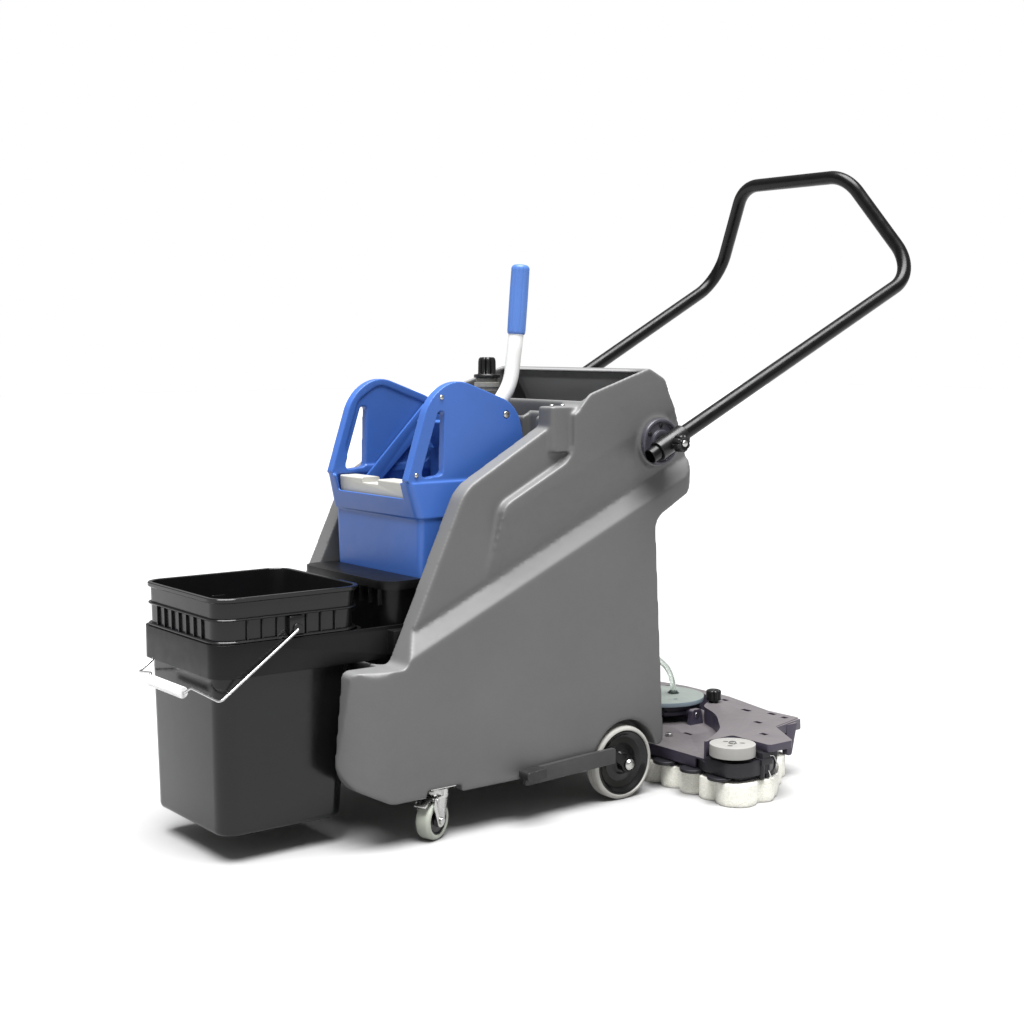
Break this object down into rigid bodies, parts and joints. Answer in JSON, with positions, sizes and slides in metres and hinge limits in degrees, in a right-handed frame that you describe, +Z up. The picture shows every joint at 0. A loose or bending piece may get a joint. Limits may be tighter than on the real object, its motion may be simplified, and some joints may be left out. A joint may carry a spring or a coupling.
{
  "type": "push floor scrubbing cart",
  "caption": "Push floor-scrubbing cart with a moulded tank body, mop wringer, hanging pail, tilting push handle and a trailing scrub deck lifted by a foot pedal.",
  "frame": {"origin": "middle of the footprint's length on the floor, at mid width", "axes": "+X towards the scrub deck and the operator's handle, -X towards the hanging pail, +Y to the operator's right-hand side (the operator stands behind the handle and looks along -X), +Z up"},
  "size_m": [1.4171, 0.742, 1.1037],
  "materials": {
    "tank_grey": "fine moulded texture",
    "screw_steel": "bright zinc",
    "filler_neck": "satin",
    "cap_black": "satin black",
    "hose_barb": "matt",
    "clear_tube": "clear, slightly cloudy",
    "handle_black": "gloss powder coat",
    "axle_steel": "turned",
    "pedal_grey": "satin",
    "pedal_rubber": "matt",
    "lift_steel": "satin",
    "caster_zinc": "bright zinc plate",
    "caster_tread": "pale grey tread on a dark core",
    "pail_black": "gloss",
    "bail_wire": "drawn wire",
    "bail_grip": "white, satin",
    "ring_black": "matt",
    "wringer_blue": "satin blue",
    "press_white": "white, satin",
    "lever_pale": "white, satin",
    "lever_grip": "blue, satin",
    "deck_grey": "satin grey",
    "housing_dark": "satin",
    "disc_pale": "pale, satin",
    "boot_dark": "matt",
    "base_black": "matt",
    "pad_cream": "dense nylon web",
    "knob_black": "satin",
    "clip_wire": "drawn wire",
    "clamp_black": "satin",
    "tyre_grey": "non-marking grey",
    "hub_black": "satin",
    "roller_grey": "non-marking grey"
  },
  "bodies": {
    "chassis": {"tank_body": "tank_grey", "body_screws": "screw_steel", "filler_neck": "filler_neck", "hose_barb": "hose_barb", "solution_tube": "clear_tube", "handle_flanges": "clamp_black", "axle_brackets": "axle_steel", "caster_plates": "caster_zinc", "holder_ring": "ring_black"},
    "handle": {"handle_tube": "handle_black", "pivot_clamps": "clamp_black", "pivot_pins": "screw_steel"},
    "filler_cap": {"filler_cap": "cap_black"},
    "lift": {"axle_shaft": "axle_steel", "axle_nuts": "screw_steel", "pedal_arm": "pedal_grey", "pedal_crank": "pedal_grey", "pedal_pad": "pedal_rubber", "lift_arms": "lift_steel", "disc_housing": "housing_dark", "swivel_disc": "disc_pale", "tube_boot": "boot_dark", "trunnion_pins": "axle_steel"},
    "deck": {"deck_shell": "deck_grey", "deck_base": "base_black", "pad_buttons": "base_black", "scrub_pad": "pad_cream", "roller_brackets": "base_black", "roller_bolts": "screw_steel", "deck_posts": "base_black", "spring_clips": "clip_wire"},
    "deck_knob": {"deck_knob": "knob_black"},
    "front_pail": {"front_pail": "pail_black"},
    "bail": {"bail_wire": "bail_wire", "bail_grip": "bail_grip"},
    "inner_pail": {"inner_pail": "pail_black"},
    "wringer": {"wringer_basket": "wringer_blue", "wringer_cheek_left": "wringer_blue", "wringer_cheek_right": "wringer_blue", "cheek_screws": "screw_steel", "back_plate": "wringer_blue"},
    "press": {"press_shaft": "axle_steel", "press_arms": "press_white", "press_plate": "press_white", "lever_tube": "lever_pale", "lever_grip": "lever_grip"},
    "rear_wheel_left": {"rear_tyre_left": "tyre_grey", "rear_hub_left": "hub_black"},
    "pivot_knob_left": {"pivot_knob_left": "knob_black"},
    "bumper_roller_left": {"bumper_roller_left": "roller_grey"},
    "caster_fork_left": {"caster_fork_left": "caster_zinc"},
    "caster_wheel_left": {"caster_wheel_left": "caster_tread"},
    "caster_brake_left": {"caster_brake_left": "caster_zinc"},
    "rear_wheel_right": {"rear_tyre_right": "tyre_grey", "rear_hub_right": "hub_black"},
    "pivot_knob_right": {"pivot_knob_right": "knob_black"},
    "bumper_roller_right": {"bumper_roller_right": "roller_grey"},
    "caster_fork_right": {"caster_fork_right": "caster_zinc"},
    "caster_wheel_right": {"caster_wheel_right": "caster_tread"},
    "caster_brake_right": {"caster_brake_right": "caster_zinc"}
  },
  "joints": [
    {"name": "handle_tilt", "type": "hinge", "parent": "chassis", "child": "handle", "pos_m": [0.1127, 0, 0.609], "axis": [0, 1, 0], "range_deg": [-75, 25]},
    {"name": "cap_screw", "type": "hinge", "parent": "chassis", "child": "filler_cap", "pos_m": [-0.0653, 0.044, 0.715], "axis": [0, 0, 1], "continuous": true},
    {"name": "pedal_lift", "type": "hinge", "parent": "chassis", "child": "lift", "pos_m": [0.0407, 0, 0.0635], "axis": [0, -1, 0], "range_deg": [0, 11], "deforming": ["solution_tube"]},
    {"name": "deck_rock", "type": "hinge", "parent": "lift", "child": "deck", "pos_m": [0.3177, 0, 0.086], "axis": [0, 1, 0], "range_deg": [-5, 5]},
    {"name": "pad_knob_turn", "type": "hinge", "parent": "deck", "child": "deck_knob", "pos_m": [0.3767, -0.077, 0.11], "axis": [0, 0, 1], "continuous": true},
    {"name": "front_pail_lift", "type": "slide", "parent": "chassis", "child": "front_pail", "axis": [0, 0, 1], "range_m": [0, 0.38]},
    {"name": "bail_swing", "type": "hinge", "parent": "front_pail", "child": "bail", "pos_m": [-0.5503, 0, 0.35], "axis": [0, 1, 0], "range_deg": [0, 120]},
    {"name": "inner_pail_lift", "type": "slide", "parent": "chassis", "child": "inner_pail", "axis": [0, 0, 1], "range_m": [0, 0.33]},
    {"name": "wringer_lift", "type": "slide", "parent": "inner_pail", "child": "wringer", "axis": [0, 0, 1], "range_m": [0, 0.1]},
    {"name": "press_lever", "type": "hinge", "parent": "wringer", "child": "press", "pos_m": [-0.1483, 0, 0.659], "axis": [0, -1, 0], "range_deg": [0, 35]},
    {"name": "rear_wheel_spin_left", "type": "hinge", "parent": "chassis", "child": "rear_wheel_left", "pos_m": [0.0407, -0.1905, 0.0635], "axis": [0, 1, 0], "continuous": true},
    {"name": "pivot_knob_turn_left", "type": "hinge", "parent": "handle", "child": "pivot_knob_left", "pos_m": [0.1127, -0.258, 0.609], "axis": [0, -1, 0], "continuous": true},
    {"name": "roller_spin_left", "type": "hinge", "parent": "deck", "child": "bumper_roller_left", "pos_m": [0.1777, -0.326, 0.088], "axis": [0, 0, 1], "continuous": true},
    {"name": "caster_swivel_left", "type": "hinge", "parent": "chassis", "child": "caster_fork_left", "pos_m": [-0.3313, -0.182, 0.076], "axis": [0, 0, 1], "continuous": true},
    {"name": "caster_wheel_spin_left", "type": "hinge", "parent": "caster_fork_left", "child": "caster_wheel_left", "pos_m": [-0.34511, -0.18786, 0.03175], "axis": [-0.3907, 0.9205, 0], "continuous": true},
    {"name": "caster_brake_press_left", "type": "hinge", "parent": "caster_fork_left", "child": "caster_brake_left", "pos_m": [-0.35431, -0.19177, 0.066], "axis": [0.3907, -0.9205, 0], "range_deg": [0, 12]},
    {"name": "rear_wheel_spin_right", "type": "hinge", "parent": "chassis", "child": "rear_wheel_right", "pos_m": [0.0407, 0.1905, 0.0635], "axis": [0, 1, 0], "continuous": true},
    {"name": "pivot_knob_turn_right", "type": "hinge", "parent": "handle", "child": "pivot_knob_right", "pos_m": [0.1127, 0.258, 0.609], "axis": [0, 1, 0], "continuous": true},
    {"name": "roller_spin_right", "type": "hinge", "parent": "deck", "child": "bumper_roller_right", "pos_m": [0.1777, 0.326, 0.088], "axis": [0, 0, 1], "continuous": true},
    {"name": "caster_swivel_right", "type": "hinge", "parent": "chassis", "child": "caster_fork_right", "pos_m": [-0.3313, 0.182, 0.076], "axis": [0, 0, 1], "continuous": true},
    {"name": "caster_wheel_spin_right", "type": "hinge", "parent": "caster_fork_right", "child": "caster_wheel_right", "pos_m": [-0.34585, 0.18563, 0.03175], "axis": [0.2419, 0.9703, 0], "continuous": true},
    {"name": "caster_brake_press_right", "type": "hinge", "parent": "caster_fork_right", "child": "caster_brake_right", "pos_m": [-0.35556, 0.18805, 0.066], "axis": [-0.2419, -0.9703, 0], "range_deg": [0, 12]}
  ]
}
